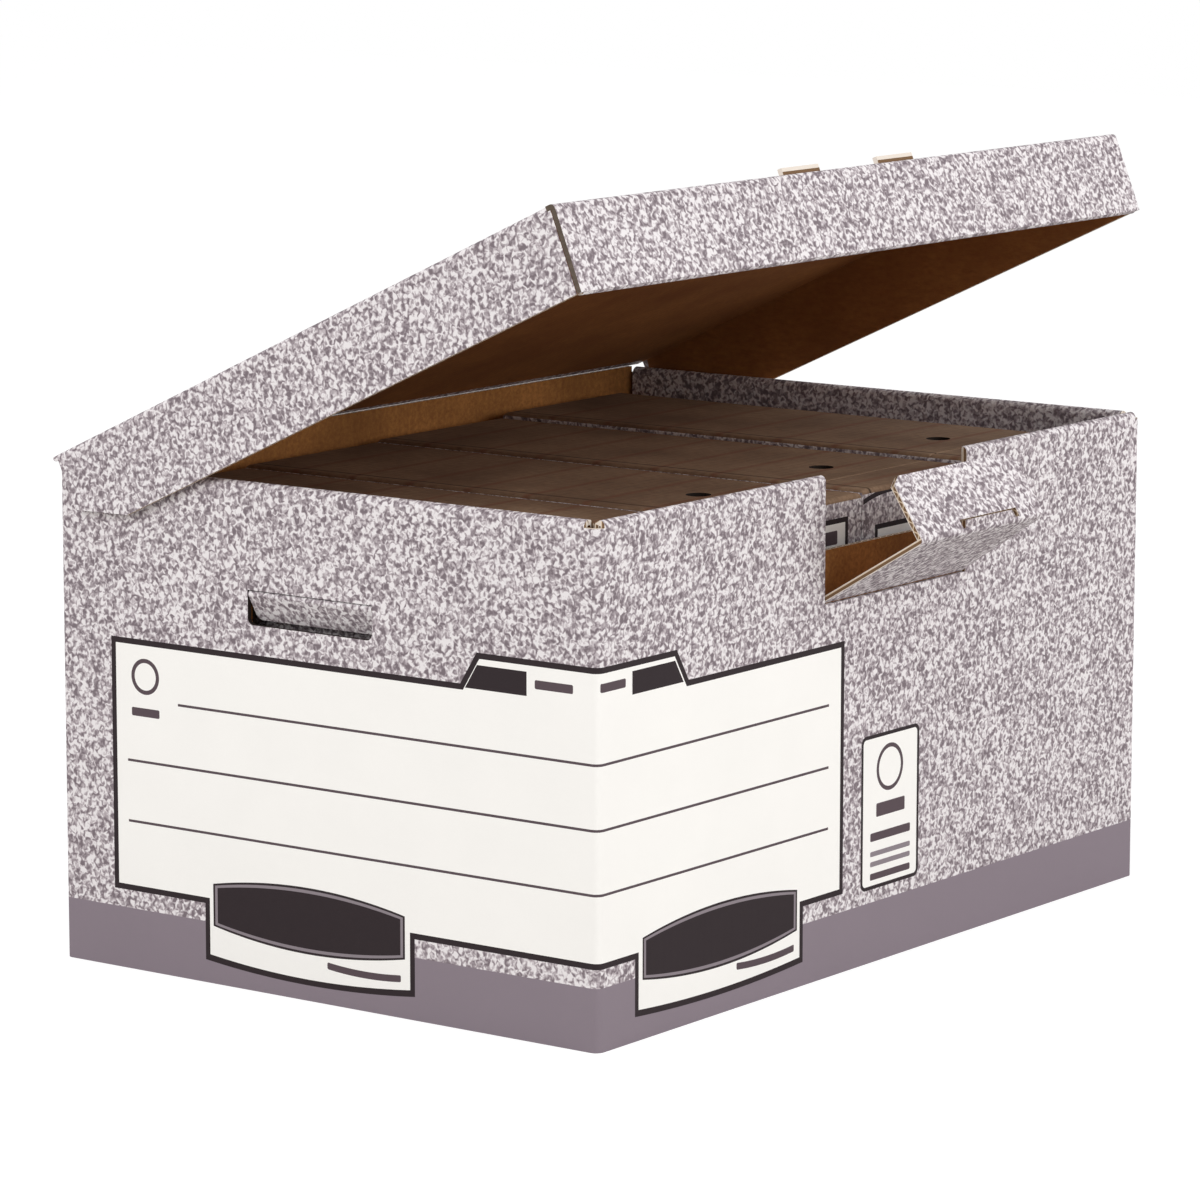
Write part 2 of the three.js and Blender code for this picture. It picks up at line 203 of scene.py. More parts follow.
@dataclass(frozen=True)
class Patch:
    """One printed field, in millimetres along the wall and above the floor.

    Attributes:
        left: Left edge.
        right: Right edge.
        bottom: Lower edge.
        top: Upper edge.
        colour: Ink, or the bare white coat.
        radius: Rounding of the corners.
        sag: How far the field's middle hangs lower than its ends.
        barrel: How much lower its ends are than its middle, from 0 to 1.
        slope: How far each end leans inwards for a millimetre of height.
    """

    left: float
    right: float
    bottom: float
    top: float
    colour: str = "#2B2024"
    radius: float = 0.0
    sag: float = 0.0
    barrel: float = 0.0
    slope: float = 0.0

    def inset(self, by: float, colour: str) -> "Patch":
        """Return the same field drawn smaller all round, in another colour."""
        radius = max(self.radius - by, 0.0)
        lean = by * (math.hypot(1, self.slope) + self.slope)
        return Patch(self.left + lean, self.right - lean, self.bottom + by, self.top - by,
                     colour, radius, self.sag, self.barrel, self.slope)

    def mask(self, tree: bpy.types.NodeTree, along: Value, height: Value) -> bpy.types.Node:
        """Build the field's mask.

        Args:
            tree: Node tree to build in.
            along: Place along the wall, in millimetres.
            height: Place above the floor, in millimetres.

        Returns:
            A node that is 1 inside the field and 0 outside.
        """
        half = ((self.right - self.left) / 2, (self.top - self.bottom) / 2)
        x = add_node(tree, "ShaderNodeMath", {0: along, 1: (self.left + self.right) / 2},
                     operation="SUBTRACT")
        z = add_node(tree, "ShaderNodeMath", {0: height, 1: (self.bottom + self.top) / 2},
                     operation="SUBTRACT")
        if self.sag or self.barrel:
            ratio = add_node(tree, "ShaderNodeMath", {0: x, 1: 1 / half[0]}, operation="MULTIPLY")
            square = add_node(tree, "ShaderNodeMath", {0: ratio, 1: ratio}, operation="MULTIPLY")
            if self.sag:
                drop = add_node(tree, "ShaderNodeMath", {0: square, 1: -self.sag, 2: self.sag},
                                operation="MULTIPLY_ADD")
                z = add_node(tree, "ShaderNodeMath", {0: z, 1: drop}, operation="ADD")
            if self.barrel:
                shrink = add_node(tree, "ShaderNodeMath", {0: square, 1: -self.barrel, 2: 1.0},
                                  operation="MULTIPLY_ADD")
                z = add_node(tree, "ShaderNodeMath", {0: z, 1: shrink}, operation="DIVIDE")
        x = add_node(tree, "ShaderNodeMath", {0: x}, operation="ABSOLUTE")
        if self.slope:
            rise = add_node(tree, "ShaderNodeMath", {0: z, 1: half[1]}, operation="ADD")
            x = add_node(tree, "ShaderNodeMath", {0: rise, 1: self.slope, 2: x},
                         operation="MULTIPLY_ADD")
        z = add_node(tree, "ShaderNodeMath", {0: z}, operation="ABSOLUTE")
        if self.radius:
            out = [
                add_node(tree, "ShaderNodeMath",
                         {0: add_node(tree, "ShaderNodeMath", {0: axis, 1: size - self.radius},
                                      operation="SUBTRACT"), 1: 0.0}, operation="MAXIMUM")
                for axis, size in zip((x, z), half)
            ]
            corner = add_node(tree, "ShaderNodeCombineXYZ", {0: out[0], 1: out[1]})
            reach = add_node(tree, "ShaderNodeVectorMath", {0: corner}, operation="LENGTH")
            return add_node(tree, "ShaderNodeMath", {0: reach.outputs[1], 1: self.radius},
                            operation="LESS_THAN")
        inside = [add_node(tree, "ShaderNodeMath", {0: axis, 1: size}, operation="LESS_THAN")
                  for axis, size in zip((x, z), half)]
        return add_node(tree, "ShaderNodeMath", {0: inside[0], 1: inside[1]}, operation="MULTIPLY")


INK = "#2B2024"
SOFT_INK = "#57494F"
COAT = "#FEFCF8"
OUTLINE = "#8D8389"
BAND_INK = "#8B7F88"


@dataclass(frozen=True)
class BoxPrint:
    """Layout of the box's print, measured along the wall from the labelled corner.

    The end wall is negative and the front wall positive, so the fields run round the corner.
    """

    band_top: float = 36.0
    frame: float = 3.4
    label: Patch = Patch(-349, 237.5, 46.5, 195)
    hump: Patch = Patch(-100.5, 90, 185, 213.4, slope=0.62)
    plates: tuple[Patch, ...] = (
        Patch(-280, -127, 13.5, 60, sag=4.5),
        Patch(34, 197, 14, 60, sag=3.0),
    )
    badges: tuple[Patch, ...] = (
        Patch(-274, -134, 27, 65.5, barrel=0.36),
        Patch(41, 191, 27, 64, barrel=0.36),
    )
    lines: tuple[Patch, ...] = (
        Patch(-299, 222, 159.0, 160.5, SOFT_INK),
        Patch(-337.5, 222, 122.8, 124.3, SOFT_INK),
        Patch(-337.5, 222, 87.0, 88.5, SOFT_INK),
    )
    chips: tuple[Patch, ...] = (
        Patch(-91, -55, 193, 206.5, slope=0.62),
        Patch(-74, -48.5, 193, 206.5),
        Patch(38, 79, 194.5, 207.5, slope=0.62),
        Patch(31, 60, 194.5, 207.5),
        Patch(-43, -17, 197.5, 202.5, SOFT_INK, radius=1),
        Patch(2, 25, 199.5, 204.5, SOFT_INK, radius=1),
    )
    notes: tuple[Patch, ...] = (
        Patch(-334, -313, 163, 184, SOFT_INK, radius=10.5),
        Patch(-331.5, -315.5, 165.5, 181.5, COAT, radius=8),
        Patch(-334, -313, 150, 155, SOFT_INK, radius=1),
        Patch(-190, -137, 20.5, 24.5, SOFT_INK, radius=1, sag=1.5),
        Patch(131, 188, 22, 26, SOFT_INK, radius=1, sag=1.5),
    )
    side_panel: Patch = Patch(256, 317, 43.7, 135.3, radius=5)
    side_notes: tuple[Patch, ...] = (
        Patch(272, 300, 100, 128, SOFT_INK, radius=14),
        Patch(274.5, 297.5, 102.5, 125.5, COAT, radius=11.5),
        Patch(272, 302, 86, 94, SOFT_INK, radius=1),
        Patch(266, 308, 72, 77, SOFT_INK, radius=1),
        Patch(266, 308, 63, 66, OUTLINE, radius=1),
        Patch(266, 308, 57, 60, OUTLINE, radius=1),
        Patch(266, 308, 49, 53, SOFT_INK, radius=1),
    )

    def fields(self) -> list[Patch]:
        """Return the fields in the order they are printed, the lowest first."""
        body = [self.label, self.hump, *self.plates]
        badges = [patch for badge in self.badges
                  for patch in (badge, badge.inset(1.4, OUTLINE), badge.inset(3.2, INK))]
        return [
            *body,
            *(patch.inset(self.frame, COAT) for patch in body),
            *self.lines,
            *(plate.inset(self.frame, COAT) for plate in self.plates),
            *badges,
            *self.chips,
            *self.notes,
            self.side_panel,
            self.side_panel.inset(2.2, COAT),
            *self.side_notes,
        ]


@dataclass(frozen=True)
class FilePrint:
    """Layout of the print on a transfer file's front end, from its middle and above its foot."""

    frame: float = 3.0

    def fields(self, height: float) -> list[Patch]:
        """Return the fields in the order they are printed.

        Args:
            height: The file's height in millimetres.

        Returns:
            The fields, the lowest first.
        """
        label = Patch(-49, 49, 60, height - 22)
        tab = Patch(-16, 49, 100, height - 12)
        return [
            label,
            tab,
            label.inset(self.frame, COAT),
            tab.inset(self.frame, COAT),
            Patch(-61.5, -2, height - 9, height - 6, sag=-4.5),
            Patch(0, 38, height - 27, height - 19, SOFT_INK, radius=1),
            Patch(-40, 40, 180, 181.5, SOFT_INK),
            Patch(-40, 40, 140, 141.5, SOFT_INK),
            Patch(-40, 40, 100, 101.5, SOFT_INK),
            Patch(-44, 44, 66, 86, barrel=0.3),
        ]


@dataclass(frozen=True)
class LinerFinish:
    """Printed white-top liner of corrugated board: a soft matt sheet with faint flute ripples.

    Attributes:
        name: The material's name.
        flute_mm: Spacing of the flutes that show through as ripples.
        flute_axis: Object axis that the ripples follow one after another.
        flute_weight: Height of the ripples beside that of the fibres.
        fibre_mm: Grain of the fibres.
        relief_mm: Height of the relief.
        mottle_mm: Size of the clouds in the ink.
        mottle: Least and greatest shade of the clouds.
        speckle: The grain's print.
    """

    name: str
    flute_mm: float = 6.5
    flute_axis: int = 0
    flute_weight: float = 0.16
    fibre_mm: float = 1.1
    relief_mm: float = 0.06
    mottle_mm: float = 45.0
    mottle: tuple[float, float] = (0.965, 1.02)
    speckle: Speckle = Speckle()

    def build(
        self,
        fields: Sequence[Patch] = (),
        along: Sequence[float] = (1, 0, 0, 0),
        lift: float = 0.0,
        band: Optional[float] = None,
        turn: float = 0.0,
    ) -> bpy.types.Material:
        """Build the material.

        Args:
            fields: Printed fields over the grain, the lowest first.
            along: Weights of X, Y and Z and an offset in millimetres that give the place along the wall.
            lift: Height in millimetres that the fields' heights are counted from.
            band: Top of the plain band round the foot, in millimetres.
            turn: Angle about X, in degrees, that lays a tilted piece's board flat again.

        Returns:
            The material.
        """
        material, tree = blank_material(self.name)
        coords = add_node(tree, "ShaderNodeTexCoord")
        place = add_node(tree, "ShaderNodeMapping", {
            "Vector": coords.outputs["Object"], "Rotation": (math.radians(turn), 0, 0)})
        colour = self.speckle.colour(tree, place)
        millimetres = add_node(tree, "ShaderNodeVectorMath",
                               {0: place, "Scale": 1 / MM}, operation="SCALE")
        axes = add_node(tree, "ShaderNodeSeparateXYZ", {0: millimetres})
        if band is not None:
            foot = add_node(tree, "ShaderNodeMath", {0: axes.outputs[2], 1: band},
                            operation="LESS_THAN")
            colour = add_node(tree, "ShaderNodeMix", {0: foot, 6: colour,
                              7: linear(BAND_INK)}, data_type="RGBA").outputs[2]
        if fields:
            wall = add_node(tree, "ShaderNodeVectorMath",
                            {0: millimetres, 1: tuple(along[:3])}, operation="DOT_PRODUCT")
            wall = add_node(tree, "ShaderNodeMath", {0: wall.outputs[1], 1: along[3]},
                            operation="ADD")
            height = add_node(tree, "ShaderNodeMath", {0: axes.outputs[2], 1: lift},
                              operation="SUBTRACT")
            for patch in fields:
                mask = patch.mask(tree, wall, height)
                colour = add_node(tree, "ShaderNodeMix", {
                    0: mask, 6: colour, 7: linear(patch.colour)}, data_type="RGBA").outputs[2]
        # Ink on an uncoated liner takes up unevenly and never covers quite flat
        mottle = add_node(tree, "ShaderNodeTexNoise", {
            "Vector": place, "Scale": 1 / (self.mottle_mm * MM), "Detail": 3.0})
        shade = add_node(tree, "ShaderNodeMapRange", {
            0: mottle, 3: self.mottle[0], 4: self.mottle[1]})
        colour = add_node(tree, "ShaderNodeMix", {
            0: 1.0, 6: colour, 7: shade}, data_type="RGBA", blend_type="MULTIPLY")
        ripple = add_node(tree, "ShaderNodeMath", {
            0: axes.outputs[self.flute_axis], 1: 2 * math.pi / self.flute_mm}, operation="MULTIPLY")
        ripple = add_node(tree, "ShaderNodeMath", {0: ripple}, operation="SINE")
        fibres = add_node(tree, "ShaderNodeTexNoise", {
            "Vector": place, "Scale": 1 / (self.fibre_mm * MM), "Detail": 2.0})
        relief = add_node(tree, "ShaderNodeMath", {0: ripple, 1: self.flute_weight, 2: fibres},
                          operation="MULTIPLY_ADD")
        bump = add_node(tree, "ShaderNodeBump", {
            "Height": relief, "Distance": self.relief_mm * MM, "Strength": 0.7})
        surface = add_node(tree, "ShaderNodeBsdfPrincipled", {
            "Base Color": colour.outputs[2], "Roughness": 0.72, "Normal": bump,
            "Specular IOR Level": 0.35})
        add_node(tree, "ShaderNodeOutputMaterial", {"Surface": surface})
        return material


@dataclass(frozen=True)
class KraftFinish:
    """Raw brown kraft liner: long fibres, faint flute ripples and darker flecks.

    Attributes:
        name: The material's name.
        colour: Colour of the sheet.
        fibre: Colour of its darker fibres.
        flute_mm: Spacing of the flutes that show through as ripples.
        flute_axis: Object axis that the ripples follow one after another.
        flute_weight: Height of the ripples beside that of the fibres.
        washboard: Shade of the hollows between the ripples.
        fibre_mm: Grain of the fibres.
        stretch: How much longer the fibres are along Y.
        cloud_mm: Size of the lighter and darker clouds.
        relief_mm: Height of the relief.
        streak_mm: Spacing of the darker reddish streaks across the sheet, or 0 for none.
        streak: Colour of the streaks.
        streak_edge: Part of the wave's height at which a streak begins.
        streak_cover: How far a streak covers the sheet.
        shadow_seam_mm: Place along X of a painted shadow line in the gap beside a flap's edge, or None
            for none.
        seam_shade: Colour of that painted shadow line.
        shadow_seam_half: Half width of the line's core and of the whole line, in millimetres.
        shadow_seam_cover: How far the line covers the sheet.
    """

    name: str
    colour: str = "#BC7E44"
    fibre: str = "#8A5A2E"
    flute_mm: float = 6.5
    flute_axis: int = 0
    flute_weight: float = 0.3
    washboard: float = 0.93
    fibre_mm: float = 2.2
    stretch: float = 1 / 0.35
    cloud_mm: float = 60.0
    relief_mm: float = 0.08
    streak_mm: float = 0.0
    streak: str = "#7A4B38"
    streak_edge: float = 0.86
    streak_cover: float = 0.5
    shadow_seam_mm: Optional[float] = None
    seam_shade: str = "#2A1D15"
    shadow_seam_half: tuple[float, float] = (0.5, 1.4)
    shadow_seam_cover: float = 0.8

    def build(self) -> bpy.types.Material:
        """Build the material and return it."""
        material, tree = blank_material(self.name)
        coords = add_node(tree, "ShaderNodeTexCoord")
        stretched = add_node(tree, "ShaderNodeMapping", {
            "Vector": coords.outputs["Object"], "Scale": (1, 1 / self.stretch, 1)})
        fibres = add_node(tree, "ShaderNodeTexNoise", {
            "Vector": stretched, "Scale": 1 / (self.fibre_mm * MM), "Detail": 4.0,
            "Roughness": 0.65})
        clouds = add_node(tree, "ShaderNodeTexNoise", {
            "Vector": coords.outputs["Object"], "Scale": 1 / (self.cloud_mm * MM),
            "Detail": 2.0})
        blend = add_node(tree, "ShaderNodeMath", {0: fibres, 1: clouds}, operation="MULTIPLY")
        factor = add_node(tree, "ShaderNodeMapRange", {0: blend, 1: 0.12, 2: 0.4})
        colour = add_node(tree, "ShaderNodeMix", {
            0: factor, 6: linear(self.fibre), 7: linear(self.colour)}, data_type="RGBA").outputs[2]
        axes = add_node(tree, "ShaderNodeSeparateXYZ", {0: coords.outputs["Object"]})
        ripple = add_node(tree, "ShaderNodeMath", {
            0: axes.outputs[self.flute_axis], 1: 2 * math.pi / (self.flute_mm * MM)},
            operation="MULTIPLY")
        ripple = add_node(tree, "ShaderNodeMath", {0: ripple}, operation="SINE")
        washboard = add_node(tree, "ShaderNodeMapRange", {
            0: ripple, 1: -1.0, 3: self.washboard, 4: 1.0})
        colour = add_node(tree, "ShaderNodeMix", {
            0: 1.0, 6: colour, 7: washboard}, data_type="RGBA", blend_type="MULTIPLY").outputs[2]
        if self.streak_mm:
            wave = add_node(tree, "ShaderNodeMath", {
                0: axes.outputs[self.flute_axis], 1: 2 * math.pi / (self.streak_mm * MM)},
                operation="MULTIPLY")
            wave = add_node(tree, "ShaderNodeMath", {0: wave}, operation="SINE")
            streak = add_node(tree, "ShaderNodeMapRange", {
                0: wave, 1: self.streak_edge, 2: 1.0, 4: self.streak_cover})
            colour = add_node(tree, "ShaderNodeMix", {
                0: streak, 6: colour, 7: linear(self.streak)}, data_type="RGBA").outputs[2]
        if self.shadow_seam_mm is not None:
            # Painted shadow: a dark line in the gap beside the top flap's long edge, by the side panel's
            # fold
            away = add_node(tree, "ShaderNodeMath", {0: axes.outputs[0], 1: self.shadow_seam_mm * MM},
                            operation="SUBTRACT")
            away = add_node(tree, "ShaderNodeMath", {0: away}, operation="ABSOLUTE")
            line = add_node(tree, "ShaderNodeMapRange", {
                0: away, 1: self.shadow_seam_half[0] * MM, 2: self.shadow_seam_half[1] * MM,
                3: self.shadow_seam_cover, 4: 0.0})
            colour = add_node(tree, "ShaderNodeMix", {
                0: line, 6: colour, 7: linear(self.seam_shade)}, data_type="RGBA").outputs[2]
        relief = add_node(tree, "ShaderNodeMath", {0: ripple, 1: self.flute_weight, 2: fibres},
                          operation="MULTIPLY_ADD")
        bump = add_node(tree, "ShaderNodeBump", {
            "Height": relief, "Distance": self.relief_mm * MM, "Strength": 0.8})
        surface = add_node(tree, "ShaderNodeBsdfPrincipled", {
            "Base Color": colour, "Roughness": 0.88, "Normal": bump, "Specular IOR Level": 0.25})
        add_node(tree, "ShaderNodeOutputMaterial", {"Surface": surface})
        return material


@dataclass(frozen=True)
class CutEdgeFinish:
    """Die-cut board edge: two liners with the wave of the flute between them, open and shadowed.

    The edge's own map gives the place along the cut and across the board, in millimetres.
    """

    name: str = "cut_corrugated_edge"
    liner: str = "#EADFD3"
    flute: str = "#D8C3A8"
    hollow: str = "#7C6046"
    board_mm: float = 3.0
    liner_mm: float = 0.45
    flute_mm: float = 6.5
    flute_half_mm: float = 0.5
    relief_mm: float = 0.5

    def build(self) -> bpy.types.Material:
        """Build the material and return it."""
        material, tree = blank_material(self.name)
        cut = add_node(tree, "ShaderNodeUVMap", uv_map="cut_edge")
        axes = add_node(tree, "ShaderNodeSeparateXYZ", {0: cut})
        turn = add_node(tree, "ShaderNodeMath", {
            0: axes.outputs[0], 1: 2 * math.pi / self.flute_mm}, operation="MULTIPLY")
        wave = add_node(tree, "ShaderNodeMath", {0: turn}, operation="SINE")
        middle = add_node(tree, "ShaderNodeMath", {
            0: wave, 1: self.board_mm / 2 - self.liner_mm, 2: self.board_mm / 2},
            operation="MULTIPLY_ADD")
        from_flute = add_node(tree, "ShaderNodeMath", {0: axes.outputs[1], 1: middle},
                              operation="SUBTRACT")
        from_flute = add_node(tree, "ShaderNodeMath", {0: from_flute}, operation="ABSOLUTE")
        on_flute = add_node(tree, "ShaderNodeMath", {0: from_flute, 1: self.flute_half_mm},
                            operation="LESS_THAN")
        from_middle = add_node(tree, "ShaderNodeMath", {0: axes.outputs[1], 1: self.board_mm / 2},
                               operation="SUBTRACT")
        from_middle = add_node(tree, "ShaderNodeMath", {0: from_middle}, operation="ABSOLUTE")
        on_liner = add_node(tree, "ShaderNodeMath", {
            0: from_middle, 1: self.board_mm / 2 - self.liner_mm}, operation="GREATER_THAN")
        colour = add_node(tree, "ShaderNodeMix", {
            0: on_flute, 6: linear(self.hollow), 7: linear(self.flute)}, data_type="RGBA")
        colour = add_node(tree, "ShaderNodeMix", {
            0: on_liner, 6: colour.outputs[2], 7: linear(self.liner)}, data_type="RGBA")
        solid = add_node(tree, "ShaderNodeMath", {0: on_flute, 1: on_liner}, operation="MAXIMUM")
        bump = add_node(tree, "ShaderNodeBump", {
            "Height": solid, "Distance": self.relief_mm * MM, "Strength": 0.6})
        surface = add_node(tree, "ShaderNodeBsdfPrincipled", {
            "Base Color": colour.outputs[2], "Roughness": 0.9, "Normal": bump,
            "Specular IOR Level": 0.2})
        add_node(tree, "ShaderNodeOutputMaterial", {"Surface": surface})
        return material


@dataclass(frozen=True)
class Sorted:
    """How one face of a board piece is finished.

    Attributes:
        face: The finish.
        along: For a cut edge, the axis it runs along, or None where the flutes run with it.
        depth: For a cut edge, the depth into the board of a point, in millimetres.
    """

    face: Face
    along: Optional[int] = None
    depth: Callable[[Vector], float] = lambda point: MID_BOARD


@dataclass
class BoardPiece:
    """A piece of board whose faces are print, raw liner or cut edge.

    Attributes:
        node: The CAD node whose shape it has.
        body: The body it rides on.
        slot: The record's material slot; not used.
        materials: Material of each kind of face.
        hinge: Origin of the piece's own frame, in millimetres.
        turn: Angle about X, in degrees, of its own frame in the row's frame.
        swing: Angle about Y, in degrees.
    """

    node: str
    body: str
    slot: str
    materials: dict[Face, bpy.types.Material]
    hinge: tuple[float, float, float] = (0, 0, 0)
    turn: float = 0.0
    swing: float = 0.0

    def sort(self, centre: Vector, normal: Vector) -> Sorted:
        """Say how a face is finished, from its middle in millimetres and its normal.

        Args:
            centre: Middle of the face in the piece's own frame.
            normal: The face's normal in the piece's own frame.

        Returns:
            The finish.
        """
        raise NotImplementedError

    def build(self, nodes: Mapping[str, bpy.types.Object]) -> bpy.types.Object:
        """Dress a copy of the node, which takes the node's place.

        Args:
            nodes: The frame's nodes.

        Returns:
            The dressed piece.
        """
        name = f"{self.node}_board"
        mesh = nodes[self.node].data.copy()
        mesh.name = name
        mesh.materials.clear()
        piece = bpy.data.objects.new(name, mesh)
        bpy.context.scene.collection.objects.link(piece)
        for face in Face:
            mesh.materials.append(self.materials.get(face, self.materials[Face.PRINT]))
        own = (Matrix.Translation(Vector(self.hinge))
               @ Matrix.Rotation(math.radians(self.swing), 4, "Y")
               @ Matrix.Rotation(math.radians(self.turn), 4, "X")).inverted()
        spin = own.to_3x3()
        work = bmesh.new()
        work.from_mesh(mesh)
        bmesh.ops.remove_doubles(work, verts=work.verts, dist=WELD)
        work.normal_update()
        cut = work.loops.layers.uv.new("cut_edge")
        for face in work.faces:
            normal = spin @ face.normal
            finish = self.sort(own @ (face.calc_center_median() / MM), normal)
            face.material_index = int(finish.face)
            face.smooth = True
            if finish.face is Face.EDGE:
                for loop in face.loops:
                    point = own @ (loop.vert.co / MM)
                    run = BESIDE_WAVE if finish.along is None else point[finish.along]
                    loop[cut].uv = (run, finish.depth(point))
        for edge in work.edges:
            if len(edge.link_faces) == 2 and edge.calc_face_angle() > CRISP_FOLD:
                edge.smooth = False
        work.to_mesh(mesh)
        work.free()
        shade = piece.modifiers.new("even_shading", "WEIGHTED_NORMAL")
        shade.keep_sharp = True
        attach(piece, self.body)
        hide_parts(self.node)
        LOG.info("%s: %d faces", name, len(mesh.polygons))
        return piece


@dataclass
class BoxBody(BoardPiece):
    """The folded blank: wrap-round walls, rolled-over front and ends, and the bottom."""

    length: float = 564.0
    width: float = 388.0
    board: float = 3.0
    front_gap: float = 1.0
    end_gap: float = 3.5
    floor: float = 6.0
    rim_zone: float = 8.0
    hole_middle: float = 7.0
    hole_reach: float = 48.0
    hole_heights: tuple[float, float] = (205.0, 240.0)
    sill_heights: tuple[float, float] = (217.0, 220.0)

    def thickness(self, gap: float) -> float:
        """Return the thickness of a rolled-over wall with this gap between its layers."""
        return 2 * self.board + gap

    def layer(self, outside: float, gap: float) -> float:
        """Return the depth into its own layer of a point this far inside the outer face."""
        inner = self.board + gap
        return outside - inner if outside > self.board + gap / 2 else outside

    def depth(self, point: Vector) -> float:
        """Return a point's depth into its board."""
        end = self.length / 2 - abs(point.x)
        front = point.y + self.width / 2
        back = self.width / 2 - point.y
        if front < self.thickness(self.front_gap) + NEAR:
            return self.layer(front, self.front_gap)
        if back < self.board + NEAR:
            return back
        if end < self.thickness(self.end_gap) + NEAR:
            return self.layer(end, self.end_gap)
        return point.z

    def sort(self, centre: Vector, normal: Vector) -> Sorted:
        """Say how a face of the box is finished."""
        end = self.length / 2 - abs(centre.x)
        front = centre.y + self.width / 2
        back = self.width / 2 - centre.y
        front_wall = self.thickness(self.front_gap)
        end_wall = self.thickness(self.end_gap)
        outward = normal.x * centre.x > 0
        ends_on = abs(normal.x) > SQUARE
        sides_on = abs(normal.y) > SQUARE
        hole_foot, hole_top = self.hole_heights
        beside_hole = abs(centre.y - self.hole_middle) < self.hole_reach
        # The hand holes' cut edges get dark kraft, painted as the shade in the hole
        if end < end_wall + NEAR and hole_foot < centre.z < hole_top and beside_hole and not ends_on:
            return Sorted(Face.HOLE)
        sill_foot, sill_top = self.sill_heights
        outer_layer = front < self.board + self.front_gap / 2 + NEAR
        if outer_layer and sill_foot < centre.z < sill_top and normal.z > SQUARE:
            return Sorted(Face.PRINT)
        if abs(normal.z) > SQUARE:
            if centre.z < self.floor + 1 and (centre.z < NEAR or normal.z > 0):
                return Sorted(Face.RAW)
            along_x = front < self.rim_zone or back < self.board + NEAR
            return Sorted(Face.EDGE, 0 if along_x else 1, self.depth)
        if ends_on:
            if end < NEAR:
                return Sorted(Face.LABEL if centre.x < 0 else Face.BAND)
            if abs(end - self.board) < NEAR or abs(end - self.board - self.end_gap) < NEAR:
                return Sorted(Face.RAW)
            if abs(end - end_wall) < NEAR and not outward:
                return Sorted(Face.PRINT)
            return Sorted(Face.EDGE, None, self.depth)
        if sides_on:
            if front < NEAR:
                return Sorted(Face.LABEL)
            if back < NEAR:
                return Sorted(Face.BAND)
            if abs(front - front_wall) < NEAR and normal.y > 0:
                return Sorted(Face.PRINT)
            hidden = (front - self.board, front - self.board - self.front_gap, back - self.board)
            if any(abs(distance) < NEAR for distance in hidden):
                return Sorted(Face.RAW)
            return Sorted(Face.EDGE, None, self.depth)
        if abs(normal.z) < 1 - NEARLY:
            if normal.x * centre.x + normal.y * centre.y <= 0:
                return Sorted(Face.RAW)
            labelled = centre.x < 0 and centre.y < 0
            return Sorted(Face.LABEL if labelled else Face.BAND)
        return Sorted(Face.PRINT if normal.z > 0 else Face.RAW)


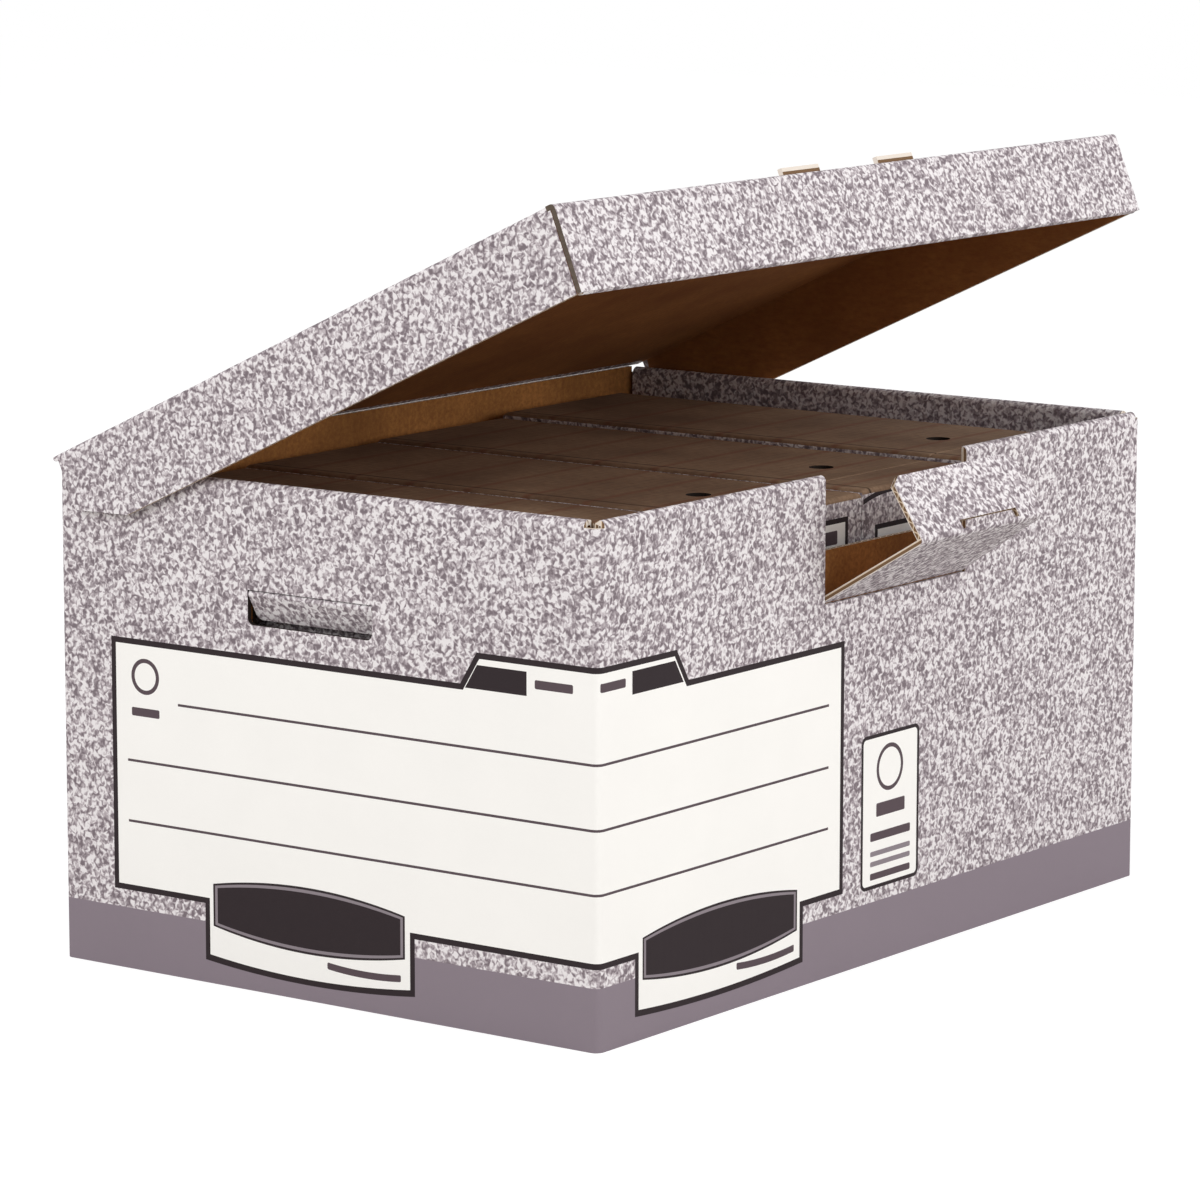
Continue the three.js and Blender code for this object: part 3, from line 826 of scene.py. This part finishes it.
@dataclass
class Lid(BoardPiece):
    """The lid: top panel, side skirts, and the rolled front skirt with its lock tabs."""

    half: float = 288.0
    reach: float = 398.7
    top: float = 1.0
    board: float = 3.0
    lean: float = 3.0
    layer_gap: float = 0.8
    skirt_depth: float = 51.0
    tab_stand: float = 4.5
    tab_root: float = 8.0
    hem_zone: float = 40.0
    rear_zone: float = 6.0
    fold_slack: float = 0.4

    def hem(self, centre: Vector, normal: Vector) -> bool:
        """Say whether a face of the front skirt's lower fold looks outwards."""
        angle = math.radians(self.lean)
        down = Vector((0, math.sin(angle), -math.cos(angle)))
        turn = self.board + self.layer_gap / 2
        middle = self.fold() - self.outward() * (self.layer_gap / 2)
        middle += down * (self.skirt_depth - self.board - turn)
        return normal.dot(centre - middle) > 0

    def outward(self) -> Vector:
        """Return the direction that the front skirt faces."""
        angle = math.radians(self.lean)
        return Vector((0, -math.cos(angle), -math.sin(angle)))

    def fold(self) -> Vector:
        """Return the middle of the round front fold."""
        return Vector((0, -self.reach + self.board, self.top - self.board))

    def front_skirt(self, centre: Vector, normal: Vector) -> Sorted:
        """Say how a face of the front skirt or of a lock tab is finished.

        Args:
            centre: Middle of the face in the lid's own frame.
            normal: The face's normal in the lid's own frame.

        Returns:
            The finish.
        """
        outward, fold = self.outward(), self.fold()
        out = (centre - fold).dot(outward)
        facing = normal.dot(outward)
        depth: Callable[[Vector], float] = lambda p: self.board - (p - fold).dot(outward)
        # The skirt's end faces at the lid's corners get grey-brown kraft, painted as the shadow in the
        # corner seam; other side-facing faces are cut edge
        if abs(normal.x) > NEARLY:
            at_end = self.half - abs(centre.x) < NEAR
            return Sorted(Face.SEAM) if at_end else Sorted(Face.EDGE, None, depth)
        tab_top = self.top + self.tab_stand
        on_tab_face = abs(out + self.layer_gap) < NEAR and centre.z > self.top - self.tab_root
        # The tab's face takes the cut edge's colours: pale at the top, then dark lower down as painted
        # shadow of the slot
        if facing > ROUGHLY and on_tab_face:
            return Sorted(Face.EDGE, None, lambda p: TAB_SHADE_FALL * (tab_top - p.z))
        if centre.z > self.top + NEAR:
            return Sorted(Face.PRINT) if facing < -ROUGHLY else Sorted(Face.EDGE, 0, depth)
        if facing > NEARLY:
            return Sorted(Face.PRINT if out > 0 else Face.RAW)
        if facing < -NEARLY:
            return Sorted(Face.PRINT if out < -self.board else Face.RAW)
        printed = self.hem(centre, normal) if centre.z < -self.hem_zone else normal.z > 0
        return Sorted(Face.PRINT if printed else Face.RAW)

    def sort(self, centre: Vector, normal: Vector) -> Sorted:
        """Say how a face of the lid is finished."""
        if centre.y > -self.rear_zone:
            return Sorted(Face.PRINT)
        skirt = self.board + self.layer_gap + self.fold_slack
        if (centre - self.fold()).dot(self.outward()) > -skirt:
            return self.front_skirt(centre, normal)
        side = self.half - abs(centre.x)
        if abs(normal.x) > NEARLY:
            return Sorted(Face.PRINT if side < NEAR else Face.RAW)
        if side < self.board + NEAR and abs(normal.x) < ACROSS:
            if normal.z > ROUGHLY:
                return Sorted(Face.PRINT)
            depth: Callable[[Vector], float] = lambda p: self.half - abs(p.x)
            return Sorted(Face.EDGE, 1 if normal.z < -LEANING else None, depth)
        return Sorted(Face.PRINT if normal.z > 0 else Face.RAW)


@dataclass
class AccessFlap(BoardPiece):
    """The front wall's access flap, with its folded lip."""

    panel: float = 71.8
    outer: float = -0.8
    board: float = 3.0
    slot_middle: float = 10.0
    slot_half: float = 30.0
    lip_end_zone: float = 40.0

    def sort(self, centre: Vector, normal: Vector) -> Sorted:
        """Say how a face of the flap is finished."""
        from_panel: Callable[[Vector], float] = lambda p: p.y - self.outer
        from_lip: Callable[[Vector], float] = lambda p: self.panel - p.z
        in_lip = centre.z > self.panel - self.board and centre.y > self.outer + self.board
        slot = in_lip and abs(centre.x - self.slot_middle) < self.slot_half + NEAR
        if abs(normal.x) > LEANING:
            return Sorted(Face.EDGE, 1, from_lip) if in_lip else Sorted(Face.EDGE, None, from_panel)
        lip_end = in_lip and centre.y > self.lip_end_zone
        if normal.y > SQUARE and (slot or lip_end):
            return Sorted(Face.EDGE, 0, from_lip)
        if normal.y < -SQUARE and slot:
            return Sorted(Face.EDGE, 0, from_lip)
        if normal.z > SQUARE:
            return Sorted(Face.PRINT)
        if normal.z < -SQUARE or normal.y > LEANING:
            return Sorted(Face.RAW)
        return Sorted(Face.PRINT)


@dataclass
class HandFlap(BoardPiece):
    """The flap of a hand hole."""

    wall: int = -1
    outer: float = 2.2

    def sort(self, centre: Vector, normal: Vector) -> Sorted:
        """Say how a face of the flap is finished."""
        across: Callable[[Vector], float] = lambda p: self.outer - self.wall * p.x
        facing = normal.x * self.wall
        if facing > NEARLY:
            return Sorted(Face.PRINT)
        if facing < -NEARLY:
            return Sorted(Face.RAW)
        if centre.z > 0 and abs(normal.y) < ROUGHLY:
            return Sorted(Face.PRINT)
        return Sorted(Face.EDGE, 1 if normal.z < -MOSTLY else None, across)


@dataclass
class TransferFile(BoardPiece):
    """A closed transfer file: speckled sides, a printed front end and a raw kraft top."""

    tall: float = 270.0
    board: float = 3.0
    thumb_inset: float = 71.0
    thumb_reach: float = 8.0

    def sort(self, centre: Vector, normal: Vector) -> Sorted:
        """Say how a face of the file is finished."""
        depth = self.tall - centre.z
        in_thumb_hole = math.hypot(centre.x, centre.y - self.thumb_inset) < self.thumb_reach
        # The thumb hole's walls and floor get dark kraft, painted as the shade inside it
        if in_thumb_hole and NEAR < depth < self.board + NEAR:
            return Sorted(Face.HOLE)
        if normal.z > LEANING or depth < self.board + NEAR and abs(normal.x) < ROUGHLY:
            return Sorted(Face.RAW)
        if normal.y < -NEARLY:
            return Sorted(Face.LABEL)
        if normal.z < -NEARLY:
            return Sorted(Face.RAW)
        return Sorted(Face.PRINT)


@dataclass
class Studio:
    """Camera, lamps and floor."""

    target: tuple[float, float, float] = (-17.875, 0.0, 195.62)
    azimuth: float = -53.555
    elevation: float = 9.567
    roll: float = 0.040
    distance: float = 3227.86
    lens: float = 161.88
    sensor: float = 36.0
    sight: float = 50.0
    aim: tuple[float, float, float] = (0.0, 0.0, 0.15)
    lamp_side: float = 2.4
    key_place: tuple[float, float, float] = (-3.5, 0.4, 2.3)
    key_watts: float = 68.0
    fill_place: tuple[float, float, float] = (0.9, -3.7, 1.7)
    fill_watts: float = 75.0
    sky: float = 0.64
    floor_glow: float = 0.74
    floor_half: float = 6.0
    floor_grey: str = "#C4C1BE"
    shadow_grey: str = "#A9A9A9"

    def camera(self) -> None:
        """Place the camera at the photograph's viewing angle."""
        azimuth, elevation = math.radians(self.azimuth), math.radians(self.elevation)
        away = Vector((math.sin(azimuth) * math.cos(elevation),
                       -math.cos(azimuth) * math.cos(elevation), math.sin(elevation)))
        data = bpy.data.cameras.new("camera")
        data.lens = self.lens
        data.sensor_width = self.sensor
        data.clip_end = self.sight
        camera = bpy.data.objects.new("camera", data)
        look = (-away).to_track_quat("-Z", "Y").to_matrix().to_4x4()
        place = Matrix.Translation((Vector(self.target) + away * self.distance) * MM)
        camera.matrix_world = place @ look @ Matrix.Rotation(math.radians(self.roll), 4, "Z")
        bpy.context.scene.collection.objects.link(camera)
        bpy.context.scene.camera = camera

    def lamp(self, name: str, place: Sequence[float], power: float) -> None:
        """Add a soft square lamp that faces the box.

        Args:
            name: The lamp's name.
            place: Where it stands, in metres.
            power: Its power in watts.
        """
        data = bpy.data.lights.new(name, "AREA")
        data.size = self.lamp_side
        data.energy = power
        lamp = bpy.data.objects.new(name, data)
        look = (Vector(self.aim) - Vector(place)).to_track_quat("-Z", "Y")
        lamp.matrix_world = Matrix.Translation(Vector(place)) @ look.to_matrix().to_4x4()
        bpy.context.scene.collection.objects.link(lamp)

    def world(self) -> None:
        """Light the object softly all round, on white for the camera."""
        world = bpy.data.worlds.new("studio")
        world.use_nodes = True
        tree = world.node_tree
        tree.nodes.clear()
        path = add_node(tree, "ShaderNodeLightPath")
        white = linear("#FFFFFF")
        soft = add_node(tree, "ShaderNodeBackground", {"Color": white, "Strength": self.sky})
        seen = add_node(tree, "ShaderNodeBackground", {"Color": white, "Strength": 1.0})
        mix = add_node(tree, "ShaderNodeMixShader", {
            0: path.outputs["Is Camera Ray"], 1: soft, 2: seen})
        add_node(tree, "ShaderNodeOutputWorld", {"Surface": mix})
        bpy.context.scene.world = world

    def floor(self) -> None:
        """Lay a pale floor that stays white around the object's shadow."""
        work = bmesh.new()
        bmesh.ops.create_grid(work, x_segments=1, y_segments=1, size=self.floor_half)
        mesh = bpy.data.meshes.new("floor")
        work.to_mesh(mesh)
        work.free()
        floor = bpy.data.objects.new("floor", mesh)
        material, tree = blank_material("pale_floor")
        path = add_node(tree, "ShaderNodeLightPath")
        plain = add_node(tree, "ShaderNodeBsdfDiffuse", {"Color": linear(self.floor_grey)})
        shadow = add_node(tree, "ShaderNodeBsdfDiffuse", {"Color": linear(self.shadow_grey)})
        white = add_node(tree, "ShaderNodeEmission", {
            "Color": linear("#FFFFFF"), "Strength": self.floor_glow})
        seen = add_node(tree, "ShaderNodeAddShader", {0: shadow, 1: white})
        mix = add_node(tree, "ShaderNodeMixShader", {
            0: path.outputs["Is Camera Ray"], 1: plain, 2: seen})
        add_node(tree, "ShaderNodeOutputMaterial", {"Surface": mix})
        mesh.materials.append(material)
        bpy.context.scene.collection.objects.link(floor)

    def build(self) -> None:
        """Set up the whole studio."""
        self.camera()
        self.world()
        self.floor()
        self.lamp("key", self.key_place, self.key_watts)
        self.lamp("fill", self.fill_place, self.fill_watts)
        bpy.context.scene.view_settings.view_transform = "Standard"


@dataclass
class ArchiveBox:
    """The whole box and the files in it, with the places and angles of the solids they dress."""

    nodes: Mapping[str, bpy.types.Object]
    lid_hinge: tuple[float, float, float] = (0.0, 193.2, 295.3)
    lid_angle: float = 24.8
    flap_hinge: tuple[float, float, float] = (9.0, -193.2, 221.0)
    flap_angle: float = 57.5
    hand_hinge: tuple[float, float, float] = (279.8, 7.0, 229.5)
    hand_angle: float = 30.0
    file_sides: tuple[float, ...] = (-197.0, -71.5, 54.5, 182.0)
    file_tops: tuple[float, ...] = (274.0, 275.5, 277.0, 280.0)
    file_front: float = -181.0
    file_foot: float = 6.3
    # How far from a file's middle the painted shadow line on its top lies
    file_shadow_seam: float = 54.0
    streak_spacing: float = 43.0
    label_corner: float = 88.0
    # Sheet and fibre colours of the dark kraft painted as the shade inside holes
    hole_shade_kraft: tuple[str, str] = ("#2C2019", "#1B130F")
    # Sheet and fibre colours of the grey-brown kraft painted as the shadow in the lid's corner seams
    seam_shade_kraft: tuple[str, str] = ("#6E6156", "#51463D")
    lid_kraft: tuple[str, str] = ("#B07540", "#915A30")
    file_kraft: tuple[str, str] = ("#9C8067", "#795F4B")

    def build(self) -> None:
        """Dress every piece."""
        raw = KraftFinish("raw_kraft_liner").build()
        edge = CutEdgeFinish().build()
        plain = LinerFinish("speckled_liner").build()
        hole_shade = KraftFinish("painted_shade_board_hole", *self.hole_shade_kraft).build()
        seam_shade = KraftFinish("painted_shade_board_seam", *self.seam_shade_kraft).build()
        common = {Face.PRINT: plain, Face.RAW: raw, Face.EDGE: edge, Face.HOLE: hole_shade, Face.SEAM: seam_shade}
        labelled = LinerFinish("speckled_liner_with_label").build(
            BoxPrint().fields(), (1, -1, 0, self.label_corner), band=BoxPrint().band_top)
        banded = LinerFinish("speckled_liner_with_band").build(band=BoxPrint().band_top)
        BoxBody("box_body", "box", "box_board",
                {**common, Face.LABEL: labelled, Face.BAND: banded}).build(self.nodes)
        lid_raw = KraftFinish("raw_kraft_lid_liner", *self.lid_kraft).build()
        Lid("lid", "lid", "lid_board", {**common, Face.RAW: lid_raw},
            hinge=self.lid_hinge, turn=-self.lid_angle).build(self.nodes)
        AccessFlap("front_flap", "front_flap", "flap_board", common,
                   hinge=self.flap_hinge, turn=self.flap_angle).build(self.nodes)
        hinge_x, hinge_y, hinge_z = self.hand_hinge
        for node, wall in (("hand_flap_near", -1), ("hand_flap_far", 1)):
            HandFlap(node, node, "flap_board", common, hinge=(wall * hinge_x, hinge_y, hinge_z),
                     swing=wall * self.hand_angle, wall=wall).build(self.nodes)
        for number, (middle, tall) in enumerate(zip(self.file_sides, self.file_tops), 1):
            # Each file top gets a painted shadow line beside its top flap's edge
            top = KraftFinish(f"file_{number}_top_kraft", *self.file_kraft, flute_axis=1,
                              streak_mm=self.streak_spacing,
                              shadow_seam_mm=middle - self.file_shadow_seam).build()
            front = LinerFinish(f"file_{number}_front_liner").build(
                FilePrint().fields(tall - self.file_foot), (1, 0, 0, -middle), self.file_foot)
            TransferFile(f"file_{number}", "box", "file_board",
                         {**common, Face.RAW: top, Face.LABEL: front},
                         hinge=(middle, self.file_front, self.file_foot),
                         tall=tall - self.file_foot).build(self.nodes)


def main() -> None:
    """Build the studio and the box, and report each piece."""
    logging.basicConfig(level=logging.INFO, format="%(message)s")
    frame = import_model()
    Studio().build()
    ArchiveBox(frame["nodes"]).build()


if __name__ == "__main__":
    main()
